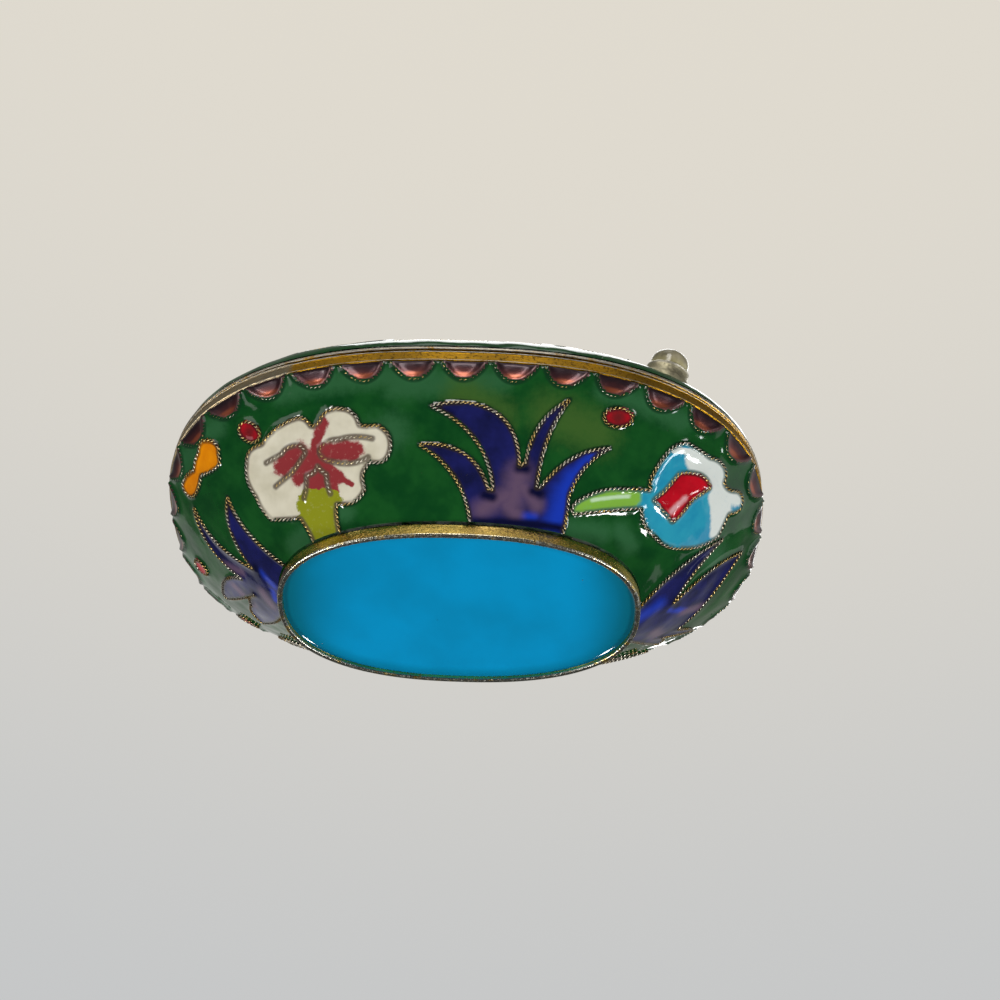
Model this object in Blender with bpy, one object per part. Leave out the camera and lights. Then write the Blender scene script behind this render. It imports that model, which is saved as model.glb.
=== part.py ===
"""Oval cloisonne enamel box: a hollow enamelled bowl on a low foot strip, with a domed lid that lifts off.

The origin is on the ground under the middle of the box. X is the long axis, -Y is the front and +Z is up.
Each ornament is an outline of corners, and the stretch after a corner bulges outward by its third number,
as a share of that stretch. On the bowl a corner is in thousandths of the way round the rim, counted from
the middle of the front, and in hundredths of the way up the wall. On the lid it is in millimetres.
"""

import math

import bmesh
import bpy
import numpy as np
from mathutils import Vector
from mathutils.geometry import delaunay_2d_cdt

MM = 0.001

# Bowl
rim_length = 70.0 * MM
rim_width = 47.0 * MM
rim_squareness = 2.47
bowl_height = 12.7 * MM
bowl_swell = 1.2
bowl_wall = 1.8 * MM
bowl_floor = 1.6 * MM

# Foot strip, with the enamelled panel inside it
foot_length = 40.7 * MM
foot_width = 23.0 * MM
foot_squareness = 2.35
foot_height = 1.9 * MM
foot_wall = 0.6 * MM
foot_edge_round = 0.15 * MM
panel_recess = 1.0 * MM
panel_crown = 0.25 * MM

# Gilt strip round the mouth, with the lip that keeps the lid in place
mouth_band_height = 1.6 * MM
mouth_bead = 0.3 * MM
mouth_bead_height = 0.5 * MM
lip_height = 0.7 * MM
lip_wall = 0.6 * MM
lip_clearance = 0.5 * MM

# Lid
lid_band_height = 0.6 * MM
lid_band_bead = 0.3 * MM
lid_rise = 8.0 * MM
lid_wall = 1.4 * MM
lid_squareness = 2.1
lid_border = 3.2 * MM
band_edge_share = 0.25

# Raised ornament
bowl_relief = 0.5 * MM
lid_relief = 0.35 * MM
relief_slope = 0.3 * MM
scallop_count = 34
scallop_depth = 2.1 * MM
lid_scallop_depth = 1.8 * MM
scallop_gap = 1.2 * MM
scallop_point = 1.4
scallop_edge = 0.3 * MM
lobe_depth = 0.22

# Stone on the lid's shoulder, and the cup that holds it
stone_turn = math.radians(-36.4)
stone_inset = 5.3 * MM
stone_width = 4.4 * MM
stone_girdle = 1.3 * MM
stone_rise = 1.7 * MM
stone_squareness = 2.4
setting_wall = 0.3 * MM
setting_height = 1.3 * MM
setting_floor = 0.4 * MM

# Fit and fineness
joint_gap = 0.3 * MM
sides_round = 68
band_sides = 48
wall_rows = 10
lid_rings = (0.15, 0.3, 0.45, 0.6, 0.73, 0.84, 0.91, 0.96)
curve_steps = 3
leaf_steps = 5
scallop_steps = 7
stone_sides = 16
panel_rings = (1.0, 0.9, 0.5)
ceiling_rings = (1.0, 0.9, 0.75, 0.5, 0.25)
bowl_inner_rows = 5
seat_rings = (0.4, 0.7, 1.0)
stone_levels = (0, 25, 45, 65, 80)
lattice_clearance = 0.4 * MM
inset_kept = 0.85
sharpest_corner = 0.5

WHITE_FLOWER = (
    (-135, 3, -0.03), (-119, 16, 0.12), (-87, 22, -0.1), (-81, 33, 0), (-73, 38, 0.2), (-54, 45, 0.25),
    (-59, 60, -0.05), (-71, 61, 0.22), (-77, 72, 0.15), (-96, 67, -0.1), (-103, 65, 0.2), (-108, 72, 0.05),
    (-141, 64, 0.15), (-160, 58, 0.1), (-173, 39, 0.08), (-179, 23, 0.03), (-157, 15, -0.05), (-165, 3, 0),
)
BUD_AND_FLOWER = (
    (113, 13, 0.03), (157, 31, 0.1), (187, 23, 0.12), (211, 32, 0.12), (222, 58, 0), (210, 69, 0.1),
    (213, 78, 0.2), (199, 80, -0.15), (187, 75, 0.1), (179, 81, 0.1), (166, 79, 0), (147, 78, 0.12),
    (141, 68, 0.05), (145, 49, 0.1), (152, 43, 0), (132, 36, 0.08), (108, 20, 0.2),
)
TALL_PLANT = (
    (118, 3, 0), (99, 23, -0.15), (106, 57, 0.13), (72, 25, 0.1), (69, 24, -0.1), (66, 81, 0.15),
    (52, 38, 0.1), (48, 36, 0.22), (-21, 71, -0.1), (31, 20, 0.1), (27, 20, 0.15), (-32, 47, -0.08),
    (10, 6, 0), (13, 3, 0),
)
LEFT_LEAVES = (
    (-209, 3, -0.1), (-191, 52, 0.07), (-238, 20, -0.15), (-221, 72, 0.15), (-259, 31, 0.1),
    (-289, 58, 0.1), (-301, 62, 0.05), (-271, 22, 0.1), (-291, 33, 0.1), (-319, 41, 0.1), (-274, 3, 0),
)
RIGHT_LEAVES = (
    (300, 3, 0.05), (340, 56, 0.1), (323, 43, 0), (331, 80, 0.05), (315, 51, -0.08), (251, 80, 0.15),
    (268, 26, -0.12), (227, 62, 0.15), (251, 3, 0),
)
GOURD = (
    (-171, 74, 0.25), (-169, 83, 0.25), (-182, 84, 0.05), (-195, 80, 0.05), (-212, 85, 0.15),
    (-216, 77, 0.15), (-206, 72, 0.05), (-194, 74, 0.05), (-182, 69, 0.2),
)
BOWL_DOTS = ((-143, 74, 6.5, 7), (99, 76, 9, 6), (-277, 74, 6, 6), (-334, 72, 7, 7))
BACK_FLOWER_SHIFT = -295
BACK_PLANT_SHIFT = 382
LID_FLOWER = (-2.0, 0.5, 6.5, 6)
LID_LEAVES = (
    ((-10.0, 2.5, 0.0), (-22.5, 10.0, 0.24)), ((-10.5, 0.5, 0.04), (-26.5, -1.5, 0.14)),
    ((-10.0, -2.0, 0.22), (-19.5, -11.0, 0.0)), ((6.0, 3.0, 0.22), (15.5, 11.5, 0.02)),
    ((6.5, 0.5, 0.14), (23.0, 3.0, 0.04)), ((5.5, -2.5, -0.02), (12.5, -12.0, 0.22)),
)
LID_DOTS = ((-11.0, 13.5, 1.3, 1.3), (24.0, 10.5, 1.2, 1.2), (-25.0, -8.6, 1.2, 1.2), (-3.0, -13.5, 1.3, 1.3))


def clear_scene():
    for obj in list(bpy.data.objects):
        bpy.data.objects.remove(obj, do_unlink=True)


def make_material(name, color, roughness, metallic):
    material = bpy.data.materials.new(name)
    material.use_nodes = True
    shader = material.node_tree.nodes["Principled BSDF"]
    shader.inputs["Base Color"].default_value = (*color, 1.0)
    shader.inputs["Roughness"].default_value = roughness
    shader.inputs["Metallic"].default_value = metallic
    return material


def oval_reach(length, width, squareness, angle):
    """Distance from the middle to the edge of a squared oval, at an angle from +X."""
    across = np.abs(np.cos(angle) * 2 / length) ** squareness
    along = np.abs(np.sin(angle) * 2 / width) ** squareness
    return (across + along) ** (-1 / squareness)


def oval_ring(length, width, squareness, count):
    """Points of an oval, anticlockwise from above, starting at the middle of the front."""
    shares = (np.arange(count) + 0.5) / count - 0.5
    angle = round_angle(shares)
    reach = oval_reach(length, width, squareness, angle)
    return np.stack([reach * np.cos(angle), reach * np.sin(angle)], -1)


def arc_shares(points):
    steps = np.linalg.norm(np.diff(points, axis=0), axis=1)
    run = np.concatenate([[0.0], np.cumsum(steps)])
    return run / run[-1], run[-1]


def rim_table():
    """Angles from the middle of the front, with their shares of the way round the rim."""
    turn = np.linspace(-math.pi, math.pi, 2001)
    angle = turn - math.pi / 2
    reach = oval_reach(rim_length, rim_width, rim_squareness, angle)
    shares, girth = arc_shares(np.stack([reach * np.cos(angle), reach * np.sin(angle)], -1))
    return shares - 0.5, angle, girth


RIM_SHARES, RIM_ANGLES, RIM_GIRTH = rim_table()
SCALLOP_PITCH = 1 / scallop_count
SEAM = SCALLOP_PITCH / 2 - 0.5


def round_angle(share):
    """Angle from +X at a share of the way round the rim, also past the middle of the back."""
    whole = np.floor(np.asarray(share) + 0.5)
    return np.interp(share - whole, RIM_SHARES, RIM_ANGLES) + whole * 2 * math.pi


def spread(level):
    """How far the bowl has opened from its foot to its rim, at a share of its height."""
    return 1 - (1 - level) ** bowl_swell


def wall_table():
    level = np.linspace(0, 1, 401)
    side = np.stack([spread(level) * (rim_width - foot_width) / 2, level * bowl_height], -1)
    shares, slant = arc_shares(side)
    return shares, level, slant


WALL_SHARES, WALL_LEVELS, WALL_SLANT = wall_table()
BOWL_BASE = foot_height + joint_gap


def bowl_point(share, rise):
    """The bowl's outer face at a share of the way round and a share of the way up the wall."""
    level = np.interp(rise, WALL_SHARES, WALL_LEVELS)
    opened = spread(level)
    length = foot_length + (rim_length - foot_length) * opened
    width = foot_width + (rim_width - foot_width) * opened
    squareness = foot_squareness + (rim_squareness - foot_squareness) * opened
    angle = round_angle(share)
    reach = oval_reach(length, width, squareness, angle)
    return np.stack([reach * np.cos(angle), reach * np.sin(angle), BOWL_BASE + level * bowl_height], -1)


def surface_normal(point_at, u, v, u_step, v_step):
    """Unit normals of a surface given by a function, from differences both ways."""
    along = point_at(u + u_step, v) - point_at(u - u_step, v)
    up = point_at(u, v + v_step) - point_at(u, v - v_step)
    normal = np.cross(along, up)
    return normal / np.linalg.norm(normal, axis=-1, keepdims=True)


def bowl_normal(share, rise):
    inside = np.clip(rise, 0.01, 0.99)
    return surface_normal(bowl_point, np.asarray(share), inside, 0.001, 0.005)


MOUTH_BASE = BOWL_BASE + bowl_height + joint_gap
MOUTH_TOP = MOUTH_BASE + mouth_band_height
LID_BAND_BASE = MOUTH_TOP + joint_gap
LID_BASE = LID_BAND_BASE + lid_band_height + joint_gap
SETTING_RADIUS = stone_width / 2 + joint_gap + setting_wall


def dome_table(rise, half_width):
    """Shares of the way from the lid's edge to its middle, along the dome, with the plan radius there."""
    radius = np.cos(np.linspace(0, math.pi / 2, 401))
    height = rise * (1 - radius ** lid_squareness) ** (1 / lid_squareness)
    shares, slant = arc_shares(np.stack([(1 - radius) * half_width, height], -1))
    return shares, radius, slant


def dome_point(x, y, length, width, rise, table):
    """A dome's face at a place on its unrolled plan, where equal steps are equal along the dome."""
    angle = np.arctan2(y, x)
    edge = oval_reach(length, width, rim_squareness, angle)
    share = np.clip(1 - np.hypot(x, y) / edge, 0, 1)
    radius = np.interp(share, table[0], table[1])
    height = rise * np.clip(1 - radius ** lid_squareness, 0, 1) ** (1 / lid_squareness)
    return np.stack([radius * edge * np.cos(angle), radius * edge * np.sin(angle), LID_BASE + height], -1)


LID_TABLE = dome_table(lid_rise, rim_width / 2)


def lid_point(x, y):
    return dome_point(x, y, rim_length, rim_width, lid_rise, LID_TABLE)


def lid_normal(x, y):
    step = 0.05 * MM
    keep = 1 - 2 * step / (rim_width / 2)
    return surface_normal(lid_point, np.asarray(x) * keep, np.asarray(y) * keep, step, step)


def drawn(corners, steps):
    """An outline's points: each stretch is an arc that bulges to the right of the way it runs."""
    points = []
    for (x0, y0, bow), (x1, y1, _) in zip(corners, corners[1:] + corners[:1]):
        count = steps if bow else 1
        for step in range(count):
            share = step / count
            bulge = 4 * bow * share * (1 - share)
            points.append((x0 + (x1 - x0) * share + (y1 - y0) * bulge,
                           y0 + (y1 - y0) * share - (x1 - x0) * bulge))
    return np.array(points, float)


def shifted(corners, along):
    return tuple((x + along, y, bow) for x, y, bow in corners)


def round_dot(x, y, half_width, half_height, sides=8):
    turn = np.arange(sides) * 2 * math.pi / sides
    return np.stack([x + half_width * np.cos(turn), y + half_height * np.sin(turn)], -1)


def lobed(x, y, reach, lobes):
    """A flower's outline: lobes that meet in shallow notches."""
    turn = np.arange(lobes * 4) * math.pi / (lobes * 2)
    radius = reach * (1 - lobe_depth + lobe_depth * np.abs(np.sin(turn * lobes / 2)))
    return np.stack([x + radius * np.cos(turn), y + radius * np.sin(turn)], -1)


def bowl_outlines():
    """Closed outlines on the bowl, as shares of the way round and up."""
    shapes = [WHITE_FLOWER, BUD_AND_FLOWER, TALL_PLANT, LEFT_LEAVES, RIGHT_LEAVES, GOURD]
    shapes += [shifted(WHITE_FLOWER, BACK_FLOWER_SHIFT), shifted(TALL_PLANT, BACK_PLANT_SHIFT)]
    loops = [drawn(shape, curve_steps) for shape in shapes]
    loops += [round_dot(*dot) for dot in BOWL_DOTS]
    loops = [loop * (0.001, 0.01) for loop in loops]
    scallops = [(share, 1 - depth / WALL_SLANT) for share, depth in scallop_shapes(scallop_depth)]
    return loops + [np.stack(scallop, -1) for scallop in scallops]


def scallop_shapes(depth):
    """Scallops along the rim: shares of the way round it, with distances in from the edge."""
    half = SCALLOP_PITCH / 2 - scallop_gap / 2 / RIM_GIRTH
    turn = np.linspace(math.pi, 2 * math.pi, scallop_steps)
    inward = scallop_edge + (depth - scallop_edge) * np.abs(np.sin(turn)) ** scallop_point
    for index in range(scallop_count):
        middle = SEAM + (index + 0.5) * SCALLOP_PITCH
        yield middle + half * np.cos(turn), inward


def stone_plan():
    """Where the stone stands on the lid's unrolled plan."""
    reach = oval_reach(rim_length, rim_width, rim_squareness, stone_turn) - stone_inset
    return reach * np.array([math.cos(stone_turn), math.sin(stone_turn)])


def lid_outlines():
    """Closed outlines on the lid's unrolled plan, without the scallops that the stone's cup covers."""
    loops = [lobed(*LID_FLOWER)]
    loops += [drawn(leaf, leaf_steps) for leaf in LID_LEAVES]
    loops += [round_dot(*dot) for dot in LID_DOTS]
    loops = [loop * MM for loop in loops]
    for share, inward in scallop_shapes(lid_scallop_depth):
        angle = round_angle(share)
        reach = oval_reach(rim_length, rim_width, rim_squareness, angle) - lid_border - inward
        scallop = np.stack([reach * np.cos(angle), reach * np.sin(angle)], -1)[::-1]
        if np.linalg.norm(scallop - stone_plan(), axis=1).min() > SETTING_RADIUS + joint_gap:
            loops.append(scallop)
    return loops


def inset(loop, metric, distance):
    """The loop moved inward by a true distance, leaving out points where it is too narrow."""
    size = metric(loop)
    ahead = (np.roll(loop, -1, 0) - loop) * size
    ahead /= np.linalg.norm(ahead, axis=1, keepdims=True)
    behind = np.roll(ahead, 1, 0)
    left = np.stack([-(ahead + behind)[:, 1], (ahead + behind)[:, 0]], -1)
    length = np.linalg.norm(left, axis=1, keepdims=True)
    left = left / np.maximum(length, sharpest_corner) ** 2 * 2
    moved = loop + left * distance / size
    kept = []
    for point in moved:
        start = (loop - point) * metric(point[None])
        end = (np.roll(loop, -1, 0) - point) * metric(point[None])
        run = end - start
        share = np.clip(-(start * run).sum(1) / (run * run).sum(1), 0, 1)
        near = np.linalg.norm(start + run * share[:, None], axis=1).min()
        if near > inset_kept * distance and holds(loop, point):
            kept.append(point)
    return np.array(kept)


def holds(loop, point):
    """True if the point is inside the loop."""
    x, y = point
    x0, y0 = loop.T
    x1, y1 = np.roll(loop, -1, 0).T
    crosses = (y0 > y) != (y1 > y)
    rise = np.where(y1 == y0, 1, y1 - y0)
    return bool(np.count_nonzero(crosses & (x < x0 + (y - y0) * (x1 - x0) / rise)) % 2)


def raised_sheet(border, lattice, outlines, metric, relief):
    """Flat triangles over the border, with each point's height: outlines stand up with sloping sides."""
    points, heights, edges = [], [], []

    def add_loop(loop, height):
        first = len(points)
        points.extend(loop)
        heights.extend([height] * len(loop))
        edges.extend((first + step, first + (step + 1) % len(loop)) for step in range(len(loop)))

    add_loop(border, 0.0)
    inner_loops = []
    for outline in outlines:
        inner = inset(outline, metric, relief_slope)
        add_loop(outline, 0.0)
        if len(inner) > 2:
            add_loop(inner, relief)
            inner_loops.append(inner)
    taken = np.array(points)
    for place in lattice:
        gap = np.linalg.norm((taken - place) * metric(place[None]), axis=1).min()
        if gap > lattice_clearance:
            points.append(place)
            heights.append(relief if any(holds(inner, place) for inner in inner_loops) else 0.0)
    flat = [Vector(point) for point in points]
    found = delaunay_2d_cdt(flat, edges, [], 0, 1e-9, True)
    flat, triangles, sources = found[0], found[2], found[3]
    height = [max((heights[k] for k in source), default=0.0) for source in sources]
    return np.array([tuple(point) for point in flat]), triangles, np.array(height)


def new_object(name, points, faces, material):
    mesh = bpy.data.meshes.new(name)
    mesh.from_pydata([tuple(point) for point in points], [], faces)
    work = bmesh.new()
    work.from_mesh(mesh)
    bmesh.ops.remove_doubles(work, verts=work.verts, dist=0.002 * MM)
    bmesh.ops.triangulate(work, faces=[face for face in work.faces if len(face.verts) > 4])
    bmesh.ops.recalc_face_normals(work, faces=work.faces)
    work.to_mesh(mesh)
    work.free()
    mesh.materials.append(material)
    mesh.shade_smooth()
    mesh.set_sharp_from_angle(angle=math.radians(32))
    obj = bpy.data.objects.new(name, mesh)
    bpy.context.scene.collection.objects.link(obj)
    return obj


def bridge(first, second, count, closed=True):
    """Quads between two rows of points, given by where they start."""
    last = count if closed else count - 1
    return [(first + step, first + (step + 1) % count, second + (step + 1) % count, second + step)
            for step in range(last)]


def bowl_border_and_lattice():
    shares = SEAM + np.arange(sides_round + 1) / sides_round
    rises = np.linspace(0, 1, wall_rows + 1)
    border = [(share, 0.0) for share in shares[:-1]] + [(shares[-1], rise) for rise in rises[:-1]]
    border += [(share, 1.0) for share in shares[:0:-1]] + [(shares[0], rise) for rise in rises[:0:-1]]
    lattice = []
    for row, rise in enumerate(rises[1:-1]):
        offset = 0.5 / sides_round * (row % 2 == 0)
        lattice += [(share + offset, rise) for share in shares[1:-1]]
    return np.array(border), np.array(lattice)


def bowl_metric(places):
    """Metres for one whole turn, and for the whole slant, at places on the wall."""
    turn = np.linalg.norm(bowl_point(places[:, 0] + 0.001, places[:, 1])
                          - bowl_point(places[:, 0] - 0.001, places[:, 1]), axis=1) / 0.002
    return np.stack([turn, np.full(len(places), WALL_SLANT)], -1)


def make_bowl(material):
    border, lattice = bowl_border_and_lattice()
    flat, faces, height = raised_sheet(border, lattice, bowl_outlines(), bowl_metric, bowl_relief)
    share, rise = flat[:, 0], flat[:, 1]
    outer = bowl_point(share, rise) + bowl_normal(share, rise) * height[:, None]
    points = [tuple(point) for point in outer]
    faces = [tuple(face) for face in faces]
    shares = SEAM + np.arange(sides_round) / sides_round
    angle = round_angle(shares)
    rows = []

    def add_row(length, width, squareness, z):
        reach = oval_reach(length, width, squareness, angle)
        rows.append(len(points))
        points.extend(zip(reach * np.cos(angle), reach * np.sin(angle), np.full(sides_round, z)))

    add_row(rim_length, rim_width, rim_squareness, BOWL_BASE + bowl_height)
    floor_level = bowl_floor / bowl_height
    for level in np.linspace(1.0, floor_level, bowl_inner_rows):
        opened = spread(level)
        add_row(foot_length + (rim_length - foot_length) * opened - 2 * bowl_wall,
                foot_width + (rim_width - foot_width) * opened - 2 * bowl_wall,
                foot_squareness + (rim_squareness - foot_squareness) * opened,
                BOWL_BASE + level * bowl_height)
    for upper, lower in zip(rows, rows[1:]):
        faces += bridge(upper, lower, sides_round)
    faces.append(tuple(rows[-1] + step for step in range(sides_round)))
    add_row(foot_length, foot_width, foot_squareness, BOWL_BASE)
    faces.append(tuple(rows[-1] + step for step in range(sides_round)))
    return new_object("bowl", points, faces, material)


def turned_oval(name, length, width, squareness, profile, material, count):
    """A closed strip round an oval: each profile point is a distance outside the oval, and a height."""
    points, faces = [], []
    for outside, z in profile:
        ring = oval_ring(length + 2 * outside, width + 2 * outside, squareness, count)
        points += [(x, y, z) for x, y in ring]
    for index in range(len(profile)):
        faces += bridge(index * count, (index + 1) % len(profile) * count, count)
    return new_object(name, points, faces, material)


def make_foot_ring(material):
    profile = (
        (0, foot_height), (0, foot_edge_round), (-foot_edge_round, 0),
        (foot_edge_round - foot_wall, 0), (-foot_wall, foot_edge_round), (-foot_wall, foot_height),
    )
    return turned_oval("foot_ring", foot_length, foot_width, foot_squareness, profile, material, band_sides)


def make_base_panel(material):
    """The enamelled panel under the bowl: flat on top, and crowned where it faces down."""
    inside = 2 * (foot_wall + joint_gap)
    points, faces = [], []
    for share in panel_rings:
        ring = oval_ring((foot_length - inside) * share, (foot_width - inside) * share, foot_squareness, band_sides)
        drop = panel_crown * (1 - share ** 2)
        points += [(x, y, panel_recess - drop) for x, y in ring]
    points += [(x, y, foot_height) for x, y, _ in points[:band_sides]]
    faces += bridge(0, band_sides, band_sides)
    faces += bridge(band_sides, 2 * band_sides, band_sides)
    faces.append(tuple(2 * band_sides + step for step in range(band_sides)))
    faces += bridge(0, 3 * band_sides, band_sides)
    faces.append(tuple(3 * band_sides + step for step in range(band_sides)))
    return new_object("base_panel", points, faces, material)


def make_mouth_band(material):
    lip_face = -lid_wall - lip_clearance
    lip_back = lip_face - lip_wall
    lip_top = LID_BASE + lip_height
    profile = (
        (0, MOUTH_TOP), (mouth_bead, MOUTH_TOP - mouth_bead_height / 2), (0, MOUTH_TOP - mouth_bead_height),
        (0, MOUTH_BASE + mouth_bead_height), (mouth_bead, MOUTH_BASE + mouth_bead_height / 2), (0, MOUTH_BASE),
        (lip_back, MOUTH_BASE), (lip_back, lip_top), (lip_face, lip_top), (lip_face, MOUTH_TOP),
    )
    return turned_oval("mouth_band", rim_length, rim_width, rim_squareness, profile, material, band_sides)


def make_lid_band(material):
    top = LID_BAND_BASE + lid_band_height
    edge = lid_band_height * band_edge_share
    profile = (
        (0, top), (lid_band_bead, top - edge), (lid_band_bead, LID_BAND_BASE + edge), (0, LID_BAND_BASE),
        (-lid_wall, LID_BAND_BASE), (-lid_wall, top),
    )
    return turned_oval("lid_band", rim_length, rim_width, rim_squareness, profile, material, band_sides)


def lid_border_and_lattice():
    ring = oval_ring(rim_length, rim_width, rim_squareness, sides_round)
    lattice = [(0.0, 0.0)]
    for share in lid_rings:
        count = round(sides_round * share)
        lattice += [tuple(place) for place in oval_ring(rim_length * share, rim_width * share, rim_squareness, count)]
    return ring, np.array(lattice)


def make_lid(material):
    border, lattice = lid_border_and_lattice()
    flat, faces, height = raised_sheet(border, lattice, lid_outlines(), np.ones_like, lid_relief)
    x, y = flat[:, 0], flat[:, 1]
    outer = lid_point(x, y) + lid_normal(x, y) * height[:, None]
    points = [tuple(point) for point in outer]
    faces = [tuple(face) for face in faces]
    inner_length = rim_length - 2 * lid_wall
    inner_width = rim_width - 2 * lid_wall
    inner_rise = lid_rise - lid_wall
    table = dome_table(inner_rise, inner_width / 2)
    rows = []

    def add_row(ring):
        rows.append(len(points))
        points.extend(tuple(point) for point in ring)

    add_row(lid_point(border[:, 0], border[:, 1]))
    for share in ceiling_rings:
        ring = oval_ring(inner_length * share, inner_width * share, rim_squareness, sides_round)
        add_row(dome_point(ring[:, 0], ring[:, 1], inner_length, inner_width, inner_rise, table))
    for upper, lower in zip(rows, rows[1:]):
        faces += bridge(upper, lower, sides_round)
    faces.append(tuple(rows[-1] + step for step in range(sides_round)))
    return new_object("lid", points, faces, material)


def turned_on_lid(name, profile, material, seated=0):
    """A round piece standing square on the lid: profile points are a radius and a height over it.

    The first seated points follow the lid's curve, so that the piece sits close on it all the way round.
    """
    place = stone_plan()
    foot = Vector(lid_point(place[0], place[1]))
    turn = Vector(lid_normal(place[0], place[1])).to_track_quat("Z", "Y")
    across = turn @ Vector((1, 0, 0))
    along = turn @ Vector((0, 1, 0))
    points, faces = [], []
    for index, (radius, height) in enumerate(profile):
        for step in range(stone_sides):
            angle = 2 * math.pi * step / stone_sides
            outward = (across * math.cos(angle) + along * math.sin(angle)) * radius
            if index < seated:
                points.append(seat_point(foot + outward, height))
            else:
                points.append(foot + outward + turn @ Vector((0, 0, height)))
    for index in range(len(profile) - 1):
        faces += bridge(index * stone_sides, (index + 1) * stone_sides, stone_sides)
    faces.append(tuple(range(stone_sides)))
    faces.append(tuple((len(profile) - 1) * stone_sides + step for step in range(stone_sides)))
    return new_object(name, points, faces, material)


def seat_point(target, height):
    """The point at a height over the lid's face, square above the face's point nearest to the target."""
    plan = stone_plan()
    step = 0.1 * MM
    for _ in range(6):
        here = lid_point(plan[0], plan[1])
        along_x = (lid_point(plan[0] + step, plan[1]) - here) / step
        along_y = (lid_point(plan[0], plan[1] + step) - here) / step
        plan = plan + np.linalg.lstsq(np.stack([along_x, along_y], 1), np.array(target) - here, rcond=None)[0]
    return Vector(lid_point(plan[0], plan[1]) + lid_normal(plan[0], plan[1]) * height)


def make_stone_setting(material):
    """A shallow cup: its underside follows the lid, its floor carries the stone, and its wall holds it."""
    radius = SETTING_RADIUS - setting_wall
    floor = joint_gap + setting_floor
    top = joint_gap + setting_height
    profile = [(SETTING_RADIUS * share, joint_gap) for share in seat_rings]
    profile += [(SETTING_RADIUS, top), (radius, top), (radius, floor)]
    return turned_on_lid("stone_setting", profile, material, seated=len(seat_rings))


def make_stone(material):
    base = joint_gap + setting_floor + joint_gap
    radius = stone_width / 2
    profile = [(radius, base)]
    for degrees in stone_levels:
        turn = math.radians(degrees)
        across = math.cos(turn) ** (2 / stone_squareness)
        up = math.sin(turn) ** (2 / stone_squareness)
        profile.append((radius * across, base + stone_girdle + stone_rise * up))
    return turned_on_lid("stone", profile, material)


def main():
    clear_scene()
    green = make_material("green_enamel", (0.01, 0.12, 0.03), 0.12, 0.0)
    blue = make_material("sky_blue_enamel", (0.0, 0.25, 0.5), 0.1, 0.0)
    gilt = make_material("gilt_brass", (0.8, 0.5, 0.12), 0.3, 1.0)
    amber = make_material("amber_stone", (0.35, 0.28, 0.1), 0.1, 0.0)
    make_bowl(green)
    make_foot_ring(gilt)
    make_base_panel(blue)
    make_mouth_band(gilt)
    make_lid_band(gilt)
    make_lid(green)
    make_stone_setting(gilt)
    make_stone(amber)


main()
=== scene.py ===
"""Looks of the oval cloisonne enamel box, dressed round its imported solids. Lengths are in metres.

An ornament is an outline of corners, and the stretch after a corner bulges to its right by its third number,
as a share of that stretch. On the bowl a corner is in thousandths of the way round the rim, counted from the
middle of the front, and in hundredths of the way up the wall. On the lid it is in millimetres.
"""

import math

import bpy
import numpy as np
from mathutils import Matrix, Vector
from mathutils.kdtree import KDTree


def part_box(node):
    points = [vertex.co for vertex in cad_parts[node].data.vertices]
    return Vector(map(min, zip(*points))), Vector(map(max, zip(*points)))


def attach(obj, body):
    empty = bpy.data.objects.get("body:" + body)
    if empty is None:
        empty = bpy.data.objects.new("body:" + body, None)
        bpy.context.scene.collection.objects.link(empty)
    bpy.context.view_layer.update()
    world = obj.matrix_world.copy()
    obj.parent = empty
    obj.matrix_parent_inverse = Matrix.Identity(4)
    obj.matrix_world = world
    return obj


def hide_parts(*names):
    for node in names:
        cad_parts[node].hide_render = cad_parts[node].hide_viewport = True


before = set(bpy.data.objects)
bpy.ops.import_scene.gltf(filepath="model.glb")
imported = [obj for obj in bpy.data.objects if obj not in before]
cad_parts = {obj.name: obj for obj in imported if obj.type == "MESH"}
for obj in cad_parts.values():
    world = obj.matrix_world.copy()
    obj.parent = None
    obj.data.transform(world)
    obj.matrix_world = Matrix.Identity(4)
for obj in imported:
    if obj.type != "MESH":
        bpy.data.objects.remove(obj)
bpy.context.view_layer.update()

MM = 0.001


def node_size(node):
    low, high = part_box(node)
    return high - low


# Sizes of the solids
bead = 0.3 * MM
joint_gap = 0.3 * MM
rim_length = node_size("mouth_band").x - 2 * bead
rim_width = node_size("mouth_band").y - 2 * bead
rim_squareness = 2.47
foot_length = node_size("foot_ring").x
foot_width = node_size("foot_ring").y
foot_squareness = 2.35
foot_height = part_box("foot_ring")[1].z
foot_wall = 0.6 * MM
bowl_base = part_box("bowl")[0].z
bowl_height = node_size("bowl").z
bowl_swell = 1.2
bowl_wall = 1.8 * MM
bowl_floor = 1.6 * MM
mouth_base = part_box("mouth_band")[0].z
lid_band_base, lid_band_top = (corner.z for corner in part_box("lid_band"))
mouth_top = lid_band_base - joint_gap
lip_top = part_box("mouth_band")[1].z
lid_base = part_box("lid")[0].z
lid_wall = 1.4 * MM
lid_rise = 8.0 * MM
lid_squareness = 2.1
lid_border = 3.2 * MM
lip_play = 0.5 * MM
lip_wall = 0.6 * MM
stone_turn = math.radians(-36.4)
stone_inset = 5.3 * MM
stone_width = 4.4 * MM
stone_girdle = 1.3 * MM
stone_rise = 1.7 * MM
stone_squareness = 2.4
setting_wall = 0.3 * MM
setting_height = 1.3 * MM
setting_floor = 0.4 * MM
SETTING_RADIUS = stone_width / 2 + joint_gap + setting_wall

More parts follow.
